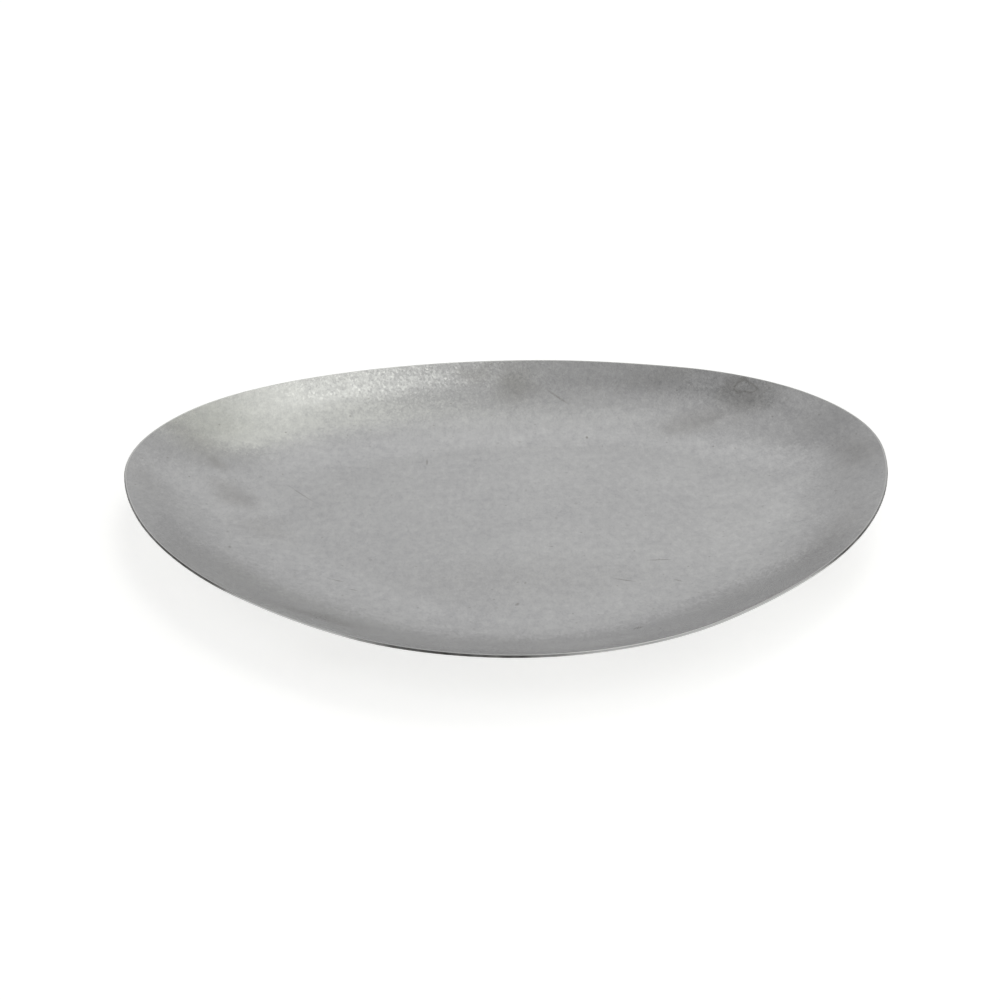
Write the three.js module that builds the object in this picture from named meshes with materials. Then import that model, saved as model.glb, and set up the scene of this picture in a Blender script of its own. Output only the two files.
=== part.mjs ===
// Triangular plate: one sheet of aluminium, pressed into a shallow dish with a rounded
// three-cornered rim, standing on three stick-on bumper feet.
//
// Millimetres, +Z up. The table is the plane Z = 0 and one corner of the plate points along -Y.
// The origin is the middle of the plate's bounding box, on the table.

import * as THREE from "three";

// Rim outline: three corner arcs and three side arcs, each tangent to its neighbours
const CORNER_OFFSET = 50.8; // from the plate's axis to the centre of each corner arc
const CORNER_RADIUS = 106;
const SIDE_RADIUS = 218;

// Cross-section of the pressed sheet
const SHEET_THICKNESS = 1;
const DISH_DEPTH = 19; // from the floor of the well up to the top of the rim
const WALL_SLOPE = THREE.MathUtils.degToRad(25);
const BEND_RADIUS = 140; // inside radius of the bend between floor and wall
const EDGE_ROUND = 0.3; // deburred corners of the cut edge

// Stick-on bumper feet
const FOOT_DIAMETER = 10;
const FOOT_HEIGHT = 2;
const FOOT_ROUND = 0.8; // moulded round at the edge of each foot's sole
const FOOT_INSET = 14; // from the edge of the flat base, at a corner, to the foot's centre

// Facets
const ARC_STEPS = 16; // along each of the six rim arcs
const BEND_STEPS = 10;
const EDGE_STEPS = 2; // round each corner of the cut edge
const FOOT_SIDES = 32;
const FOOT_ROUND_STEPS = 4;

const CORNERS = [
  { name: "front", angle: -Math.PI / 2 },
  { name: "right", angle: Math.PI / 6 },
  { name: "left", angle: (5 * Math.PI) / 6 },
];
const HALF_TURN = Math.PI / CORNERS.length; // from a corner to the middle of the next side

const polar = (radius, angle) =>
  new THREE.Vector2(radius * Math.cos(angle), radius * Math.sin(angle));

// Each side circle encloses the two corner circles beside it and touches them, so its centre lies
// beyond the axis
const cornerAlongSide = CORNER_OFFSET * Math.cos(HALF_TURN);
const cornerAcrossSide = CORNER_OFFSET * Math.sin(HALF_TURN);
const sideCentreToCorner = Math.sqrt((SIDE_RADIUS - CORNER_RADIUS) ** 2 - cornerAcrossSide ** 2);
const SIDE_OFFSET = sideCentreToCorner - cornerAlongSide;
const HALF_SIDE_SWEEP = Math.atan2(cornerAcrossSide, sideCentreToCorner);
const HALF_CORNER_SWEEP = HALF_TURN - HALF_SIDE_SWEEP;

// How far the rim reaches from the axis at a corner and at the middle of a side
const CORNER_REACH = CORNER_OFFSET + CORNER_RADIUS;
const SIDE_REACH = SIDE_RADIUS - SIDE_OFFSET;

// Stations round the rim: each knows its arc's centre and radius, and the way it faces
function rimStations() {
  const stations = [];
  const sweepArc = (centre, radius, middle, halfSweep) => {
    for (let i = 0; i < ARC_STEPS; i++) {
      const angle = middle + halfSweep * ((2 * i) / ARC_STEPS - 1);
      stations.push({ centre, radius, angle });
    }
  };
  for (const { angle } of CORNERS) {
    sweepArc(polar(CORNER_OFFSET, angle), CORNER_RADIUS, angle, HALF_CORNER_SWEEP);
    const side = angle + HALF_TURN;
    sweepArc(polar(-SIDE_OFFSET, side), SIDE_RADIUS, side, HALF_SIDE_SWEEP);
  }
  return stations;
}

// Sheet section from the floor out to the rim: x runs outwards from where the bend starts,
// y is the height over the well's floor. The list goes out along the upper face, round the cut
// edge and back in along the lower face.
function sheetSection() {
  const along = polar(1, WALL_SLOPE);
  const down = new THREE.Vector2(along.y, -along.x); // square to the wall, out of its lower face
  const bendPoint = (offset, angle) =>
    new THREE.Vector2(0, BEND_RADIUS).add(polar(BEND_RADIUS + offset, angle - Math.PI / 2));

  const bendTop = bendPoint(0, WALL_SLOPE);
  const edgeRise = EDGE_ROUND * (1 - along.x - along.y); // the round leaves the rim this much lower
  const wallLength = (DISH_DEPTH - edgeRise - bendTop.y) / along.y;
  const rim = bendTop.clone().addScaledVector(along, wallLength - EDGE_ROUND);
  const upperRound = rim.clone().addScaledVector(down, EDGE_ROUND);
  const lowerRound = rim.clone().addScaledVector(down, SHEET_THICKNESS - EDGE_ROUND);

  const points = [];
  for (let i = 0; i <= BEND_STEPS; i++) points.push(bendPoint(0, (WALL_SLOPE * i) / BEND_STEPS));
  for (const [centre, start] of [
    [upperRound, WALL_SLOPE + Math.PI / 2],
    [lowerRound, WALL_SLOPE],
  ]) {
    for (let i = 0; i <= EDGE_STEPS; i++) {
      const angle = start - (Math.PI / 2) * (i / EDGE_STEPS);
      points.push(centre.clone().add(polar(EDGE_ROUND, angle)));
    }
  }
  for (let i = BEND_STEPS; i >= 0; i--) {
    points.push(bendPoint(SHEET_THICKNESS, (WALL_SLOPE * i) / BEND_STEPS));
  }
  return points;
}

const section = sheetSection();
const WALL_WIDTH = Math.max(...section.map((point) => point.x)); // from the flat base to the rim

// The pressed sheet, with the lower face of its base at Z = 0
function sheetGeometry() {
  const stations = rimStations();
  const positions = [];
  for (const { x, y } of section) {
    const inset = WALL_WIDTH - x;
    for (const { centre, radius, angle } of stations) {
      const point = polar(radius - inset, angle).add(centre);
      positions.push(point.x, point.y, y + SHEET_THICKNESS);
    }
  }
  const floorCentre = positions.length / 3;
  positions.push(0, 0, SHEET_THICKNESS);
  const underCentre = floorCentre + 1;
  positions.push(0, 0, 0);

  const triangles = [];
  const round = stations.length;
  const lastRing = (section.length - 1) * round;
  for (let j = 0; j < round; j++) {
    const next = (j + 1) % round;
    triangles.push(floorCentre, j, next);
    triangles.push(underCentre, lastRing + next, lastRing + j);
    for (let ring = 0; ring < lastRing; ring += round) {
      const outer = ring + round;
      triangles.push(ring + j, outer + j, outer + next);
      triangles.push(ring + j, outer + next, ring + next);
    }
  }
  const geometry = new THREE.BufferGeometry();
  geometry.setAttribute("position", new THREE.Float32BufferAttribute(positions, 3));
  geometry.setIndex(triangles);
  geometry.computeVertexNormals();
  return geometry;
}

// A bumper foot on the table: a disc with a rounded sole edge, flat where it sticks to the sheet
function footGeometry() {
  const radius = FOOT_DIAMETER / 2;
  const profile = [new THREE.Vector2(0, 0)];
  for (let i = 0; i <= FOOT_ROUND_STEPS; i++) {
    const angle = (Math.PI / 2) * (i / FOOT_ROUND_STEPS - 1);
    profile.push(
      polar(FOOT_ROUND, angle).add(new THREE.Vector2(radius - FOOT_ROUND, FOOT_ROUND)),
    );
  }
  profile.push(new THREE.Vector2(radius, FOOT_HEIGHT), new THREE.Vector2(0, FOOT_HEIGHT));
  return new THREE.LatheGeometry(profile, FOOT_SIDES).rotateX(Math.PI / 2);
}

const rawAluminium = new THREE.MeshStandardMaterial({
  name: "raw_aluminium",
  color: 0xacacab,
  metalness: 1,
  roughness: 0.42,
});
const clearBumper = new THREE.MeshStandardMaterial({
  name: "clear_bumper",
  color: 0xd4d6d4,
  metalness: 0,
  roughness: 0.35,
});

const triangularPlate = new THREE.Group();
triangularPlate.name = "triangular_plate";

// A corner reaches further from the plate's axis than a side does, so the axis stands off the
// middle of the bounding box
const onAxis = new THREE.Group();
onAxis.position.y = (CORNER_REACH - SIDE_REACH) / 2;
triangularPlate.add(onAxis);

const dishedSheet = new THREE.Mesh(sheetGeometry(), rawAluminium);
dishedSheet.name = "dished_sheet";
dishedSheet.position.z = FOOT_HEIGHT;
onAxis.add(dishedSheet);

for (const { name, angle } of CORNERS) {
  const foot = new THREE.Mesh(footGeometry(), clearBumper);
  const place = polar(CORNER_REACH - WALL_WIDTH - FOOT_INSET, angle);
  foot.name = `${name}_bumper_foot`;
  foot.position.set(place.x, place.y, 0);
  onAxis.add(foot);
}

export default triangularPlate;
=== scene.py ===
"""Triangular plate: a shallow dish of raw aluminium sheet on three clear bumper feet.

The file is laid out as an add-on and run as a script. Lengths are metres, +Z is up and the table is
the plane Z = 0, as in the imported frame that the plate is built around.
"""

import math
from typing import NamedTuple

import bpy
from bpy.props import FloatProperty, FloatVectorProperty, PointerProperty
from mathutils import Matrix, Vector, noise


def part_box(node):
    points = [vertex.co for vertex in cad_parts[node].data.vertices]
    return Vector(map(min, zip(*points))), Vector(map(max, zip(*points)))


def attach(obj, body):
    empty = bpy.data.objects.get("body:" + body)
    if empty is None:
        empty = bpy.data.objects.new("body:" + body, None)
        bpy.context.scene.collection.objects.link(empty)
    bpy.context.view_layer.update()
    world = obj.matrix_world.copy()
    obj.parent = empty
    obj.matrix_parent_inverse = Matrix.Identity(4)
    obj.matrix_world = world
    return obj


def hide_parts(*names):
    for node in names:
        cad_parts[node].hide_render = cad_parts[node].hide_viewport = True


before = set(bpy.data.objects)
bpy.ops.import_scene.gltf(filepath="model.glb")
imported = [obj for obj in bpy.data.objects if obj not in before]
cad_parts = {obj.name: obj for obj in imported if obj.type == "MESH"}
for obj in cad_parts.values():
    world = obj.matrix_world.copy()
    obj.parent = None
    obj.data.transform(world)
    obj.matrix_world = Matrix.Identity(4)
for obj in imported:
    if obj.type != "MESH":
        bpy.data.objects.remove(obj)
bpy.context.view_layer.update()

bl_info = {
    "name": "Triangular Plate",
    "version": (1, 0, 0),
    "blender": (4, 5, 0),
    "location": "View3D > Sidebar > Plate",
    "description": "Builds a dished triangular plate of raw aluminium sheet, its feet and a stage",
    "category": "Object",
}

BODY = "root"
MM = 0.001

# Facets of the dressed meshes
ARC_STEPS = 56
FLOOR_LOOPS = 36
BEND_LOOPS = 22
WALL_LOOPS = 18
EDGE_LOOPS = 5
FOOT_SIDES = 64
FOOT_ROUND_LOOPS = 8

# Round floor of the stage and the backdrop at its edge
STAGE_SIDES = 96
STAGE_RADIUS = 20
BACKDROP_HEIGHT = 12

# Corners of the plate, by the direction that each points in
CORNERS = {"front": -math.pi / 2, "right": math.pi / 6, "left": 5 * math.pi / 6}
HALF_TURN = math.pi / len(CORNERS)

SENSOR_WIDTH = 36  # millimetres

NOISE_MIDDLE = (0.5, 0.5, 0.5)  # the mean of a texture's colours

# Sockets of the Mix node in its colour form
MIX_FACTOR, MIX_UNDER, MIX_OVER, MIX_RESULT = 0, 6, 7, 2


def linear(hex_colour):
    """Linear red, green and blue of an sRGB hex colour."""
    channels = [int(hex_colour[i : i + 2], 16) / 255 for i in (1, 3, 5)]
    return [c / 12.92 if c <= 0.04045 else ((c + 0.055) / 1.055) ** 2.4 for c in channels]


def length(name, description, millimetres):
    """A length that a user can set."""
    return FloatProperty(
        name=name,
        description=description,
        default=millimetres * MM,
        min=0,
        subtype="DISTANCE",
        unit="LENGTH",
        precision=5,
    )


def angle(name, description, degrees):
    """An angle that a user can set."""
    return FloatProperty(
        name=name,
        description=description,
        default=math.radians(degrees),
        subtype="ANGLE",
        unit="ROTATION",
    )


def colour(name, description, hex_colour):
    """A colour that a user can set."""
    return FloatVectorProperty(
        name=name,
        description=description,
        default=linear(hex_colour),
        min=0,
        max=1,
        size=3,
        subtype="COLOR",
    )


class SheetSettings(bpy.types.PropertyGroup):
    """Sizes and colours of the pressed sheet."""

    corner_offset: length("Corner offset", "From the axis to the centre of each corner arc", 50.8)
    corner_radius: length("Corner radius", "Radius of each corner of the rim", 106)
    side_radius: length("Side radius", "Radius of each bowed side of the rim", 218)
    thickness: length("Thickness", "Thickness of the sheet", 1)
    dish_depth: length("Dish depth", "From the floor of the well up to the top of the rim", 19)
    wall_slope: angle("Wall slope", "How steeply the wall rises from the base", 25)
    bend_radius: length("Bend radius", "Inside radius of the bend between floor and wall", 140)
    edge_round: length("Edge round", "Radius of the deburred corners of the cut edge", 0.3)
    wave_height: length("Wave height", "How far the pressed sheet departs from its true form", 0.3)
    wave_length: length("Wave length", "Distance from one swell of the sheet to the next", 85)
    dull_metal: colour("Dull metal", "The metal where its oxide is thickest", "#b4b4b5")
    clean_metal: colour("Clean metal", "The metal where it is cleanest", "#cececd")
    # Colour of the stains, and also of the painted shade along the walls
    stain_and_shade: colour("Stain", "Handling marks on the metal", "#7a7772")
    # The cut edge is painted with the next two: the bright one also as a highlight on its upper arris
    # and front, the dark one also as shade on the sheared face
    edge_metal_and_highlight: colour("Cut edge", "Freshly sheared metal of the rim's edge", "#d6d6d5")
    edge_grime_and_shade: colour("Edge grime", "Grime in the scores of the cut edge", "#4a4947")


class FootSettings(bpy.types.PropertyGroup):
    """Sizes and colours of the bumper feet."""

    edge_round: length("Sole round", "Moulded round at the edge of each foot's sole", 0.8)
    clear: colour("Clear plastic", "Colour of the clear plastic", "#e4e7e3")
    dust: colour("Dust", "Dust and scuffs that cling to the plastic", "#a9aaa6")


class StageSettings(bpy.types.PropertyGroup):
    """Floor, light and camera."""

    floor: colour("Floor", "Colour of the floor", "#f4f4f3")
    surround: colour("Surround", "Colour of the light that comes from all round", "#898989")
    lens: FloatProperty(
        name="Lens", description="Focal length on a 36 mm sensor", default=72, min=1, unit="CAMERA"
    )
    distance: length("Distance", "From the camera to the middle of the rim", 771.9)
    heading: angle("Heading", "Turn of the camera's place round the plate", -3.04)
    height_angle: angle("Height angle", "Angle of the camera's place over the rim", 21.33)
    pan: angle("Pan", "Turn of the camera's aim, to the left", -2.74)
    tilt: angle("Tilt", "How far the camera's aim dips", 22.08)
    roll: angle("Roll", "Turn of the picture about the camera's aim", 0.96)


def add_node(tree, kind, inputs=None, **settings):
    """Adds a shader node with its settings, each input set to a value or linked from a socket."""
    node = tree.nodes.new("ShaderNode" + kind)
    for name, value in settings.items():
        setattr(node, name, value)
    for socket, value in (inputs or {}).items():
        if isinstance(value, bpy.types.NodeSocket):
            tree.links.new(value, node.inputs[socket])
        else:
            node.inputs[socket].default_value = value
    return node


def new_material(name):
    """A material with an empty node tree, and that tree."""
    material = bpy.data.materials.new(name)
    material.use_nodes = True
    material.node_tree.nodes.clear()
    return material, material.node_tree


def per_metre(millimetres):
    """Texture scale that repeats a pattern about once in that many millimetres."""
    return 1 / (millimetres * MM)


def new_piece(name, vertices, faces, materials):
    """A smooth-shaded mesh object in the scene."""
    mesh = bpy.data.meshes.new(name)
    mesh.from_pydata(vertices, [], faces)
    mesh.validate()
    for material in materials:
        mesh.materials.append(material)
    mesh.shade_smooth()
    piece = bpy.data.objects.new(name, mesh)
    bpy.context.scene.collection.objects.link(piece)
    return piece


def band_faces(rings, count):
    """Quads between rings of vertices that follow one another, each with that many vertices."""
    faces = []
    for start in range(0, (rings - 1) * count, count):
        for j in range(count):
            k = (j + 1) % count
            faces.append((start + j, start + k, start + count + k, start + count + j))
    return faces


def polar(radius, direction):
    """Point at that distance from the origin."""
    return Vector((radius * math.cos(direction), radius * math.sin(direction)))


def rim_stations(sheet):
    """Centre, radius and facing of points round the rim: each corner arc, then the side after it."""
    along = sheet.corner_offset * math.cos(HALF_TURN)
    across = sheet.corner_offset * math.sin(HALF_TURN)
    side_to_corner = math.sqrt((sheet.side_radius - sheet.corner_radius) ** 2 - across**2)
    half_side = math.atan2(across, side_to_corner)
    stations = []
    for corner in CORNERS.values():
        side = corner + HALF_TURN
        arcs = (
            (polar(sheet.corner_offset, corner), sheet.corner_radius, corner, HALF_TURN - half_side),
            (polar(along - side_to_corner, side), sheet.side_radius, side, half_side),
        )
        for centre, radius, middle, half_sweep in arcs:
            for i in range(ARC_STEPS):
                stations.append((centre, radius, middle + half_sweep * (2 * i / ARC_STEPS - 1)))
    return stations


def sheet_section(sheet):
    """Upper face, cut edge and lower face of the sheet, from the start of the bend outwards and back.

    Each point is its distance out from the start of the bend and its height over the well's floor."""
    slope = sheet.wall_slope
    along = polar(1, slope)
    down = Vector((along.y, -along.x))
    bend_centre = Vector((0, sheet.bend_radius))
    bend_top = bend_centre + polar(sheet.bend_radius, slope - math.pi / 2)
    edge_drop = sheet.edge_round * (1 - along.x - along.y)
    wall_length = (sheet.dish_depth - edge_drop - bend_top.y) / along.y - sheet.edge_round
    rim = bend_top + along * wall_length

    def face(offset):
        bend = [
            bend_centre + polar(sheet.bend_radius + offset, slope * i / BEND_LOOPS - math.pi / 2)
            for i in range(BEND_LOOPS + 1)
        ]
        wall_start = bend_top + down * offset
        wall = [wall_start + along * (wall_length * i / WALL_LOOPS) for i in range(1, WALL_LOOPS)]
        support = rim + down * offset - along * sheet.edge_round
        return bend + wall + [support]

    edge = []
    for depth, start in (
        (sheet.edge_round, slope + math.pi / 2),
        (sheet.thickness - sheet.edge_round, slope),
    ):
        for i in range(EDGE_LOOPS + 1):
            turn = start - math.pi / 2 * i / EDGE_LOOPS
            edge.append(rim + down * depth + polar(sheet.edge_round, turn))
    return face(0), edge, face(sheet.thickness)[::-1]


# Fractal of the sheet's waviness
WAVE_FALLOFF, WAVE_LACUNARITY, WAVE_OCTAVES = 1, 2, 2


def press_wave(sheet, x, y):
    """How far the sheet stands off its true form, because it springs back unevenly when pressed."""
    place = Vector((x, y, 0)) / sheet.wave_length
    swell = noise.fractal(place, WAVE_FALLOFF, WAVE_LACUNARITY, WAVE_OCTAVES)
    return sheet.wave_height * swell


def dished_mesh(sheet, low):
    """Vertices and faces of the pressed sheet over its node's lowest corner, and its edge's faces."""
    upper, edge, lower = sheet_section(sheet)
    reach = max(point.x for point in edge)
    stations = rim_stations(sheet)
    axis = Vector((0, low.y + sheet.corner_offset + sheet.corner_radius))
    floor_level = low.z + sheet.thickness

    # Loops of vertices from the middle of the floor out over the rim and back underneath
    shrunk = [i / FLOOR_LOOPS for i in range(1, FLOOR_LOOPS)]
    loops = [(share, 0, upper[0].y) for share in shrunk]
    loops += [(1, point.x, point.y) for point in upper + edge + lower]
    loops += [(share, 0, lower[-1].y) for share in reversed(shrunk)]

    vertices = []
    for share, out, height in loops:
        for centre, radius, facing in stations:
            place = axis + (centre + polar(radius - reach + out, facing)) * share
            vertices.append((*place, floor_level + height + press_wave(sheet, *place)))
    middle = press_wave(sheet, *axis)
    first, last = len(vertices), len(vertices) + 1
    vertices.append((*axis, floor_level + middle))
    vertices.append((*axis, low.z + middle))

    count = len(stations)
    end = (len(loops) - 1) * count
    faces = [(first, j, (j + 1) % count) for j in range(count)]
    # The loops lead outwards, so each quad is turned over to face up
    faces += [(a, d, c, b) for a, b, c, d in band_faces(len(loops), count)]
    faces += [(last, end + (j + 1) % count, end + j) for j in range(count)]

    edge_start = count * (len(shrunk) + len(upper))
    return vertices, faces, range(edge_start, edge_start + count * len(edge))


def foot_mesh(foot, low, high):
    """Vertices and faces of a bumper foot between its node's corners: a disc with a rounded sole."""
    middle = (low + high) / 2
    radius = (high.x - low.x) / 2
    round_centre = Vector((radius - foot.edge_round, low.z + foot.edge_round))
    profile = [
        round_centre + polar(foot.edge_round, math.pi / 2 * (i / FOOT_ROUND_LOOPS - 1))
        for i in range(FOOT_ROUND_LOOPS + 1)
    ]
    profile.append(Vector((radius, high.z)))

    vertices = []
    for point in profile:
        for j in range(FOOT_SIDES):
            spoke = polar(point.x, 2 * math.pi * j / FOOT_SIDES)
            vertices.append((middle.x + spoke.x, middle.y + spoke.y, point.y))
    sole = tuple(reversed(range(FOOT_SIDES)))
    top = tuple(range(len(vertices) - FOOT_SIDES, len(vertices)))
    return vertices, [sole, *band_faces(len(profile), FOOT_SIDES), top]


class Mark(NamedTuple):
    """A dull mark on the sheet, a stain for most and painted shade for some: its place, length and
    width in millimetres, and its turn in degrees.

    It is darkest in its middle or, where it is hollow, at that share of the way to its rim."""

    x: float
    y: float
    long: float
    wide: float
    turn: float
    dark: float
    hollow: float = 0.0


NARROW_MARK = 5  # millimetres: narrower marks are scratches and dots, with clean rims

MARKS = (
    # Ring, a stroke and dark patches on the far wall
    Mark(109, 109, 12, 13, 0, 0.5, 0.68),
    Mark(103, 112, 24, 16, 70, 0.34),
    Mark(108, 101, 46, 36, 30, 0.3),
    Mark(86, 95, 60, 28, 10, 0.32),
    Mark(76, 128, 54, 24, 0, 0.16),
    Mark(10, 134, 42, 30, 85, 0.38),
    Mark(28, 124, 22, 1.8, -50, 0.45),
    # Smudges on the left and right walls
    Mark(-127, 74, 56, 30, -50, 0.24),
    Mark(-117, 62, 24, 16, -50, 0.36),
    Mark(-108, 34, 48, 26, -62, 0.36),
    Mark(-96, 4, 60, 34, -62, 0.2),
    Mark(141, 30, 64, 26, -80, 0.26),
    # Broad dark patches of painted shade, on the far wall and along the lower walls
    # Painted shade where the far wall's highlight ends
    Mark(-7, 141, 30, 20, 0, 0.25),
    # Painted shade along the lower left and right walls
    Mark(-142, 28, 64, 26, -75, 0.16),
    Mark(-100, -50, 70, 26, -60, 0.12),
    Mark(116, -50, 100, 44, 62, 0.22),
    # A faint darkening over the front of the base
    Mark(0, -48, 140, 60, 0, 0.12),
    # Dots and scratches, and a smudge on the near wall
    Mark(-31, 73, 9, 1.2, 88, 0.7),
    Mark(38, 92, 3.4, 1.6, 90, 0.8),
    Mark(-66, -46, 9, 1.2, -25, 0.6),
    Mark(-60, -55, 5, 1.4, -20, 0.6),
    Mark(-106, -24, 3.4, 1.6, 90, 0.75),
    Mark(38, -53, 12, 1, -25, 0.75),
    Mark(57, -57, 7, 1, -50, 0.75),
    Mark(-2, -70, 4, 1.8, 60, 0.6),
    Mark(53, -36, 13, 1.2, 0, 0.6),
    Mark(-82, 41, 30, 1, -58, 0.45),
    Mark(-70, -97, 56, 20, -22, 0.45),
    Mark(37, -103, 5, 3, 10, 0.7),
    Mark(2, -52, 3, 1.4, 80, 0.6),
    Mark(14, -20, 2.4, 1.2, 0, 0.5),
)

# Cloudiness of the metal: size in X and in Y in millimetres, detail, and share of the whole
TONE_LAYERS = {
    "oxide clouds": (60, 60, 3, 0.2),
    "coarse mottle": (9, 17, 3, 0.13),
    "mottle": (2.6, 5.4, 3, 0.32),
    "fine mottle": (0.8, 1.7, 2, 0.25),
    "roller streaks": (34, 3.4, 3, 0.1),
}


def sheet_tone(tree, place):
    """How clean the metal is: about a half on average."""
    tone = 0.0
    for size_x, size_y, detail, share in TONE_LAYERS.values():
        stretch = (per_metre(size_x), per_metre(size_y), per_metre(size_x))
        spread = add_node(tree, "Mapping", {"Vector": place, "Scale": stretch}).outputs["Vector"]
        layer = add_node(tree, "TexNoise", {"Vector": spread, "Scale": 1.0, "Detail": detail})
        inputs = {0: layer.outputs["Fac"], 1: share, 2: tone}
        tone = add_node(tree, "Math", inputs, operation="MULTIPLY_ADD").outputs["Value"]
    return tone


# Size of the crystals in millimetres: real ones are about a tenth of that, too fine to show
CRYSTAL_SIZE = (0.8, 1.3, 0.8)
CRYSTAL_TILT = 0.038


def sheet_glitter(tree, place):
    """Normals of the crystals in the drawn sheet, each tilted a little its own way."""
    stretch = [per_metre(size) for size in CRYSTAL_SIZE]
    spread = add_node(tree, "Mapping", {"Vector": place, "Scale": stretch}).outputs["Vector"]
    crystal = add_node(tree, "TexVoronoi", {"Vector": spread, "Scale": 1.0}).outputs["Color"]
    tilt = add_node(
        tree, "VectorMath", {0: crystal, 1: NOISE_MIDDLE}, operation="SUBTRACT"
    ).outputs["Vector"]
    face = add_node(tree, "NewGeometry").outputs["Normal"]
    tilted = add_node(
        tree, "VectorMath", {0: tilt, 1: [CRYSTAL_TILT] * 3, 2: face}, operation="MULTIPLY_ADD"
    ).outputs["Vector"]
    return add_node(tree, "VectorMath", {0: tilted}, operation="NORMALIZE").outputs["Vector"]


SMEAR_SIZE = 11  # millimetres between the ragged lobes of a smudge
SMEAR_REACH = 12 * MM
PIT_SPACING = 9  # millimetres
PIT_RIM, PIT_FLOOR = 0.06, 0.02  # shares of the spacing
PITLESS = 0.7  # the share of the places that have no pit
PIT_DARK = 0.75


def sheet_soil_and_shade(tree, place):
    """How dirty the metal is, from none to one: ragged handling marks and pin-prick pits, with broad
    patches of painted shade along the walls.
    """
    ragged = add_node(
        tree, "TexNoise", {"Vector": place, "Scale": per_metre(SMEAR_SIZE), "Detail": 4.0}
    )
    shift = add_node(
        tree, "VectorMath", {0: ragged.outputs["Color"], 1: NOISE_MIDDLE}, operation="SUBTRACT"
    ).outputs["Vector"]
    smeared = add_node(
        tree,
        "VectorMath",
        {0: shift, 1: (SMEAR_REACH, SMEAR_REACH, 0), 2: place},
        operation="MULTIPLY_ADD",
    ).outputs["Vector"]

    cell = add_node(
        tree,
        "TexVoronoi",
        {"Vector": place, "Scale": per_metre(PIT_SPACING)},
        voronoi_dimensions="2D",
    )
    pick = add_node(tree, "SeparateColor", {"Color": cell.outputs["Color"]}).outputs["Red"]
    pit = add_node(
        tree,
        "MapRange",
        {"Value": cell.outputs["Distance"], "From Min": PIT_RIM, "From Max": PIT_FLOOR},
    ).outputs["Result"]
    depth = add_node(
        tree, "MapRange", {"Value": pick, "From Min": PITLESS, "From Max": 1.0, "To Max": PIT_DARK}
    ).outputs["Result"]
    soil_and_shade = add_node(tree, "Math", {0: pit, 1: depth}, operation="MULTIPLY").outputs["Value"]

    for mark in MARKS:
        narrow = mark.wide < NARROW_MARK
        local = add_node(
            tree,
            "Mapping",
            {
                "Vector": place if narrow else smeared,
                "Location": (mark.x * MM, mark.y * MM, 0),
                "Rotation": (0, 0, math.radians(mark.turn)),
                "Scale": (mark.long / 2 * MM, mark.wide / 2 * MM, 1),
            },
            vector_type="TEXTURE",
        ).outputs["Vector"]
        reach = add_node(tree, "VectorMath", {0: local}, operation="LENGTH").outputs["Value"]
        inward = add_node(tree, "Math", {0: reach, 1: mark.hollow}, operation="SUBTRACT")
        off = add_node(
            tree, "Math", {0: inward.outputs["Value"]}, operation="ABSOLUTE"
        ).outputs["Value"]
        patch = add_node(
            tree,
            "MapRange",
            {"Value": off, "From Min": 1 - mark.hollow, "From Max": 0.0, "To Max": mark.dark},
            interpolation_type="SMOOTHSTEP",
        ).outputs["Result"]
        soil_and_shade = add_node(tree, "Math", {0: patch, 1: soil_and_shade}, operation="MAXIMUM").outputs["Value"]
    return soil_and_shade


# The dullest and the cleanest metal
DULL_TONE, CLEAN_TONE = 0.35, 0.65
DULL_ROUGHNESS, CLEAN_ROUGHNESS = 0.24, 0.17
SOIL_AND_SHADE_ROUGHNESS = 0.12  # added where the metal is dirty and where shade is painted


def raw_aluminium(sheet):
    """Raw rolled aluminium sheet, pressed and left bare.

    The mill's rollers leave a satin face with faint streaks along the sheet, a thin oxide clouds it
    unevenly, its crystals glitter in a strong light, and handling leaves dull smudges, pin-prick
    pits and hairline scratches. Broad dark patches paint in shade on the far wall and along the
    lower walls."""
    material, tree = new_material("raw_rolled_aluminium")
    place = add_node(tree, "TexCoord").outputs["Object"]
    tone = sheet_tone(tree, place)
    soil_and_shade = sheet_soil_and_shade(tree, place)

    oxide = add_node(
        tree, "MapRange", {"Value": tone, "From Min": DULL_TONE, "From Max": CLEAN_TONE}
    ).outputs["Result"]
    metal = add_node(
        tree,
        "Mix",
        {MIX_FACTOR: oxide, MIX_UNDER: (*sheet.dull_metal, 1), MIX_OVER: (*sheet.clean_metal, 1)},
        data_type="RGBA",
    ).outputs[MIX_RESULT]
    soiled_and_shaded = add_node(
        tree,
        "Mix",
        {MIX_FACTOR: soil_and_shade, MIX_UNDER: metal, MIX_OVER: (*sheet.stain_and_shade, 1)},
        data_type="RGBA",
    ).outputs[MIX_RESULT]

    satin = add_node(
        tree,
        "MapRange",
        {
            "Value": tone,
            "From Min": DULL_TONE,
            "From Max": CLEAN_TONE,
            "To Min": DULL_ROUGHNESS,
            "To Max": CLEAN_ROUGHNESS,
        },
    ).outputs["Result"]
    roughness = add_node(
        tree, "Math", {0: soil_and_shade, 1: SOIL_AND_SHADE_ROUGHNESS, 2: satin}, operation="MULTIPLY_ADD"
    ).outputs["Value"]
    shader = add_node(
        tree,
        "BsdfPrincipled",
        {
            "Base Color": soiled_and_shaded,
            "Metallic": 1.0,
            "Roughness": roughness,
            "Normal": sheet_glitter(tree, place),
        },
    )
    add_node(tree, "OutputMaterial", {"Surface": shader.outputs["BSDF"]})
    return material


# Painted highlights on the front of the cut edge: x and y, and how far each reaches, in millimetres
EDGE_HIGHLIGHTS = (
    (56, -118, 72),
    (-72, -106, 48),
)
SCORE_SIZE = 6  # millimetres
SCORE_SHARE = 0.5
# How far the edge's surface faces up where the painted highlight on its arris starts and where it is
# full
ARRIS_START, ARRIS_LIT = 0.68, 0.92
# How lit the edge is painted where it is all shade and grime and where it is all bright metal
SHADED_EDGE, LIT_EDGE = 0.2, 0.9


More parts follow.
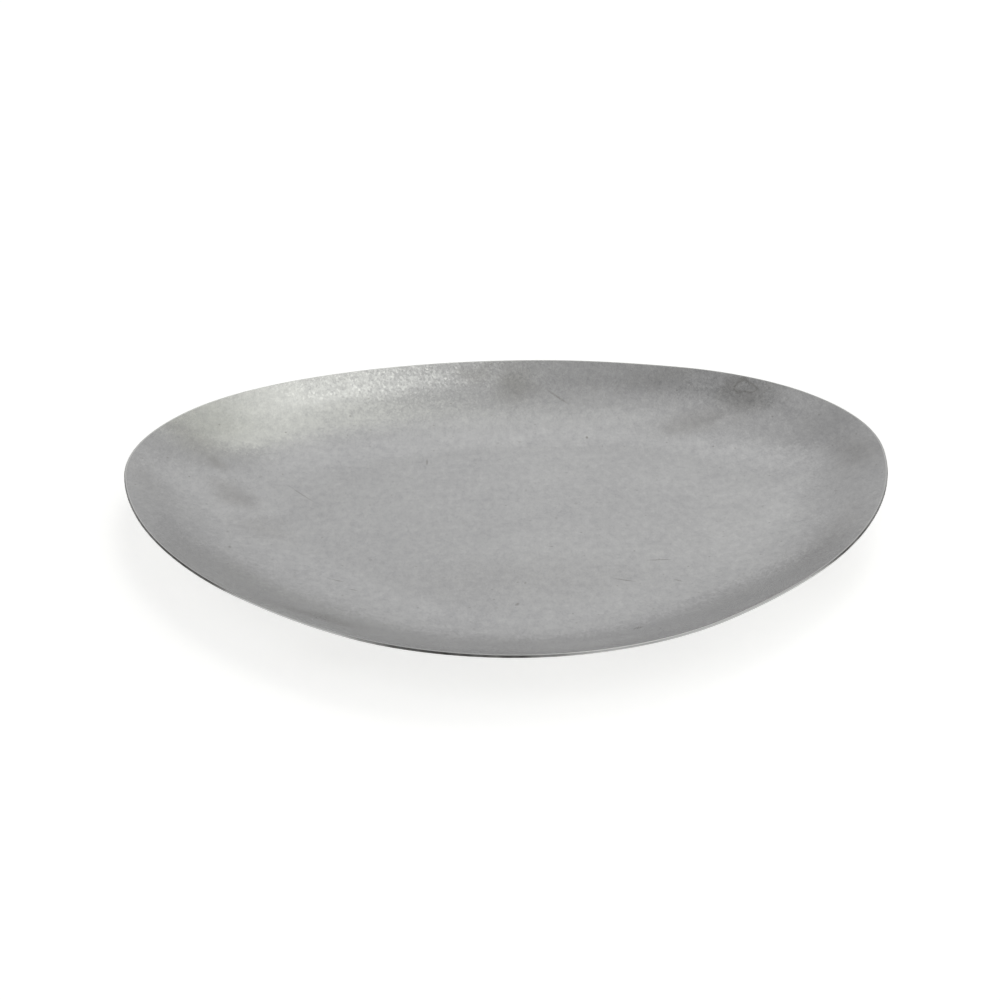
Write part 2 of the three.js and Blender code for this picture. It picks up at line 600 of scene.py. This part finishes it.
def sheared_edge(sheet):
    """Aluminium sheared through and lightly deburred.

    The upper arris is painted bright all round as a highlight, and so is the whole edge at the front.
    Elsewhere the sheared face is painted dark as shade, with grime, broken by the blade's short
    scores."""
    material, tree = new_material("sheared_aluminium_edge")
    place = add_node(tree, "TexCoord").outputs["Object"]
    score = add_node(
        tree,
        "TexNoise",
        {"Vector": place, "Scale": per_metre(SCORE_SIZE), "Detail": 4.0, "Roughness": 0.6},
    ).outputs["Fac"]
    face = add_node(tree, "NewGeometry").outputs["Normal"]
    upward = add_node(tree, "SeparateXYZ", {"Vector": face}).outputs["Z"]
    painted_highlight = add_node(
        tree, "MapRange", {"Value": upward, "From Min": ARRIS_START, "From Max": ARRIS_LIT}
    ).outputs["Result"]
    for x, y, reach in EDGE_HIGHLIGHTS:
        off = add_node(
            tree, "VectorMath", {0: place, 1: (x * MM, y * MM, 0)}, operation="DISTANCE"
        ).outputs["Value"]
        highlit = add_node(
            tree, "MapRange", {"Value": off, "From Min": reach * MM, "From Max": reach * MM / 2}
        ).outputs["Result"]
        inputs = {0: painted_highlight, 1: highlit}
        painted_highlight = add_node(tree, "Math", inputs, operation="MAXIMUM").outputs["Value"]
    scored = add_node(
        tree, "Math", {0: score, 1: SCORE_SHARE, 2: painted_highlight}, operation="MULTIPLY_ADD"
    ).outputs["Value"]
    highlight_and_scores = add_node(
        tree, "MapRange", {"Value": scored, "From Min": SHADED_EDGE, "From Max": LIT_EDGE}
    ).outputs["Result"]
    metal = add_node(
        tree,
        "Mix",
        {MIX_FACTOR: highlight_and_scores, MIX_UNDER: (*sheet.edge_grime_and_shade, 1), MIX_OVER: (*sheet.edge_metal_and_highlight, 1)},
        data_type="RGBA",
    ).outputs[MIX_RESULT]
    roughness = add_node(
        tree,
        "MapRange",
        {"Value": score, "From Min": 0.3, "From Max": 0.7, "To Min": 0.45, "To Max": 0.28},
    ).outputs["Result"]
    shader = add_node(
        tree, "BsdfPrincipled", {"Base Color": metal, "Metallic": 1.0, "Roughness": roughness}
    )
    add_node(tree, "OutputMaterial", {"Surface": shader.outputs["BSDF"]})
    return material


DUST_SIZE = 0.8  # millimetres


def clear_bumper_plastic(foot):
    """Soft clear polyurethane, cast in drops.

    It is glassy and a little cloudy, and its tacky skin holds dust."""
    material, tree = new_material("clear_cast_polyurethane")
    place = add_node(tree, "TexCoord").outputs["Object"]
    dust = add_node(
        tree,
        "TexNoise",
        {"Vector": place, "Scale": per_metre(DUST_SIZE), "Detail": 4.0, "Roughness": 0.7},
    ).outputs["Fac"]
    cling = add_node(
        tree, "MapRange", {"Value": dust, "From Min": 0.5, "From Max": 0.75}
    ).outputs["Result"]
    plastic = add_node(
        tree,
        "Mix",
        {MIX_FACTOR: cling, MIX_UNDER: (*foot.clear, 1), MIX_OVER: (*foot.dust, 1)},
        data_type="RGBA",
    ).outputs[MIX_RESULT]
    roughness = add_node(
        tree,
        "MapRange",
        {"Value": dust, "From Min": 0.4, "From Max": 0.75, "To Min": 0.15, "To Max": 0.5},
    ).outputs["Result"]
    shader = add_node(
        tree,
        "BsdfPrincipled",
        {"Base Color": plastic, "Roughness": roughness, "IOR": 1.5, "Transmission Weight": 0.6},
    )
    add_node(tree, "OutputMaterial", {"Surface": shader.outputs["BSDF"]})
    return material


FLOOR_GLOW = 0.6
TOOTH_SIZE = 3  # millimetres
TOOTH_SHADE = 0.97


def light_table(stage):
    """Matt white acrylic, cast as a sheet and lit from below: all but even, with a faint tooth.

    Its glow softens the shadows, as on a light table."""
    material, tree = new_material("matt_white_acrylic")
    place = add_node(tree, "TexCoord").outputs["Object"]
    tooth = add_node(
        tree, "TexNoise", {"Vector": place, "Scale": per_metre(TOOTH_SIZE), "Detail": 4.0}
    ).outputs["Fac"]
    shade = [channel * TOOTH_SHADE for channel in stage.floor]
    acrylic = add_node(
        tree,
        "Mix",
        {MIX_FACTOR: tooth, MIX_UNDER: (*shade, 1), MIX_OVER: (*stage.floor, 1)},
        data_type="RGBA",
    ).outputs[MIX_RESULT]
    shader = add_node(
        tree,
        "BsdfPrincipled",
        {
            "Base Color": acrylic,
            "Roughness": 0.9,
            "Emission Color": acrylic,
            "Emission Strength": FLOOR_GLOW,
        },
    )
    add_node(tree, "OutputMaterial", {"Surface": shader.outputs["BSDF"]})
    return material


class PLATE_OT_dished_sheet(bpy.types.Operator):
    """Builds the pressed sheet with its rounded triangular rim"""

    bl_idname = "plate.dished_sheet"
    bl_label = "Dished Sheet"

    def execute(self, context):
        sheet = context.scene.plate_sheet
        low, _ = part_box("dished_sheet")
        vertices, faces, edge_faces = dished_mesh(sheet, low)
        metals = [raw_aluminium(sheet), sheared_edge(sheet)]
        piece = new_piece("pressed_sheet", vertices, faces, metals)
        for i in edge_faces:
            piece.data.polygons[i].material_index = 1
        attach(piece, BODY)
        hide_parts("dished_sheet")
        return {"FINISHED"}


class PLATE_OT_bumper_feet(bpy.types.Operator):
    """Builds the clear bumper feet under the flat base"""

    bl_idname = "plate.bumper_feet"
    bl_label = "Bumper Feet"

    def execute(self, context):
        foot = context.scene.plate_foot
        plastic = clear_bumper_plastic(foot)
        for corner in CORNERS:
            node = f"{corner}_bumper_foot"
            low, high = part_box(node)
            vertices, faces = foot_mesh(foot, low, high)
            piece = new_piece(f"{corner}_bumper", vertices, faces, [plastic])
            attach(piece, BODY)
            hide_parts(node)
        return {"FINISHED"}


class Lamp(NamedTuple):
    """A soft lamp far off: its heading, height and spread in degrees, its strength and its tint.

    The heading runs from the far side towards the viewer's right."""

    heading: float
    height: float
    spread: float
    strength: float
    tint: str = "#ffffff"


LAMPS = {
    "low_left": Lamp(-10, 10, 30, 0.031),
    "low_middle": Lamp(0, 20, 30, 0.031),
    "low_right": Lamp(30, 10, 60, 0.092),
    "middle": Lamp(10, 30, 30, 0.0445),
    "high_left": Lamp(-10, 40, 30, 0.045),
    "high_middle": Lamp(0, 50, 30, 0.0325),
    "key": Lamp(30, 50, 30, 0.098, "#fcfff0"),
    "top_key": Lamp(42, 71, 16, 0.066, "#fcfff0"),
    "top_middle": Lamp(10, 60, 30, 0.04),
    "top_right": Lamp(60, 72, 30, 0.114),
    "side": Lamp(80, 60, 60, 0.178),
    "side_left": Lamp(-100, 18, 60, 0.26),
    "side_right": Lamp(100, 18, 60, 0.26),
    "near_low": Lamp(180, 18, 60, 0.26),
    "near_left": Lamp(-145, 52, 36, 0.17),
    "near_right": Lamp(145, 52, 36, 0.17),
}


class PLATE_OT_stage(bpy.types.Operator):
    """Lays the floor and sets the lamps and the camera"""

    bl_idname = "plate.stage"
    bl_label = "Stage"

    def execute(self, context):
        scene = context.scene
        stage = scene.plate_stage
        acrylic = light_table(stage)
        sides = range(STAGE_SIDES)
        floor_rim = [(*polar(STAGE_RADIUS, 2 * math.pi * i / STAGE_SIDES), 0) for i in sides]
        backdrop_rim = [(x, y, BACKDROP_HEIGHT) for x, y, _ in floor_rim]
        new_piece("floor", floor_rim, [tuple(sides)], [acrylic])

        # The backdrop hides the horizon from the camera, and the metal doesn't see it
        panels = band_faces(2, STAGE_SIDES)
        backdrop = new_piece("backdrop", floor_rim + backdrop_rim, panels, [acrylic])
        for rays in ("diffuse", "glossy", "transmission", "volume_scatter", "shadow"):
            setattr(backdrop, f"visible_{rays}", False)

        world = bpy.data.worlds.new("studio")
        world.use_nodes = True
        world.node_tree.nodes["Background"].inputs["Color"].default_value = (*stage.surround, 1)
        scene.world = world
        for name, lamp in LAMPS.items():
            light = bpy.data.lights.new(f"{name}_lamp", "SUN")
            light.angle = math.radians(lamp.spread)
            light.energy = lamp.strength
            light.color = linear(lamp.tint)
            holder = bpy.data.objects.new(light.name, light)
            turn = Matrix.Rotation(-math.radians(lamp.heading), 4, "Z")
            holder.matrix_world = turn @ Matrix.Rotation(math.radians(lamp.height - 90), 4, "X")
            scene.collection.objects.link(holder)

        sheet = scene.plate_sheet
        low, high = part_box("dished_sheet")
        axis = Vector((0, low.y + sheet.corner_offset + sheet.corner_radius, high.z))
        lens = bpy.data.cameras.new("camera")
        lens.lens = stage.lens
        lens.sensor_width = SENSOR_WIDTH
        camera = bpy.data.objects.new("camera", lens)
        back = stage.distance * math.cos(stage.height_angle)
        place = axis + Vector((
            back * math.sin(stage.heading),
            -back * math.cos(stage.heading),
            stage.distance * math.sin(stage.height_angle),
        ))
        camera.matrix_world = (
            Matrix.Translation(place)
            @ Matrix.Rotation(stage.pan, 4, "Z")
            @ Matrix.Rotation(math.pi / 2 - stage.tilt, 4, "X")
            @ Matrix.Rotation(-stage.roll, 4, "Z")
        )
        scene.collection.objects.link(camera)
        scene.camera = camera
        scene.view_settings.view_transform = "Standard"
        return {"FINISHED"}


class VIEW3D_PT_triangular_plate(bpy.types.Panel):
    """Lists the plate's operators and settings"""

    bl_label = "Triangular Plate"
    bl_space_type = "VIEW_3D"
    bl_region_type = "UI"
    bl_category = "Plate"

    def draw(self, context):
        scene = context.scene
        for operator, settings in (
            (PLATE_OT_dished_sheet, scene.plate_sheet),
            (PLATE_OT_bumper_feet, scene.plate_foot),
            (PLATE_OT_stage, scene.plate_stage),
        ):
            self.layout.operator(operator.bl_idname)
            column = self.layout.column()
            for name in settings.__annotations__:
                column.prop(settings, name)


CLASSES = (
    SheetSettings,
    FootSettings,
    StageSettings,
    PLATE_OT_dished_sheet,
    PLATE_OT_bumper_feet,
    PLATE_OT_stage,
    VIEW3D_PT_triangular_plate,
)


def register():
    for cls in CLASSES:
        bpy.utils.register_class(cls)
    bpy.types.Scene.plate_sheet = PointerProperty(type=SheetSettings)
    bpy.types.Scene.plate_foot = PointerProperty(type=FootSettings)
    bpy.types.Scene.plate_stage = PointerProperty(type=StageSettings)


def unregister():
    del bpy.types.Scene.plate_stage
    del bpy.types.Scene.plate_foot
    del bpy.types.Scene.plate_sheet
    for cls in reversed(CLASSES):
        bpy.utils.unregister_class(cls)


def main():
    """Builds the plate and its stage."""
    register()
    bpy.ops.plate.dished_sheet()
    bpy.ops.plate.bumper_feet()
    bpy.ops.plate.stage()


if __name__ == "__main__":
    main()
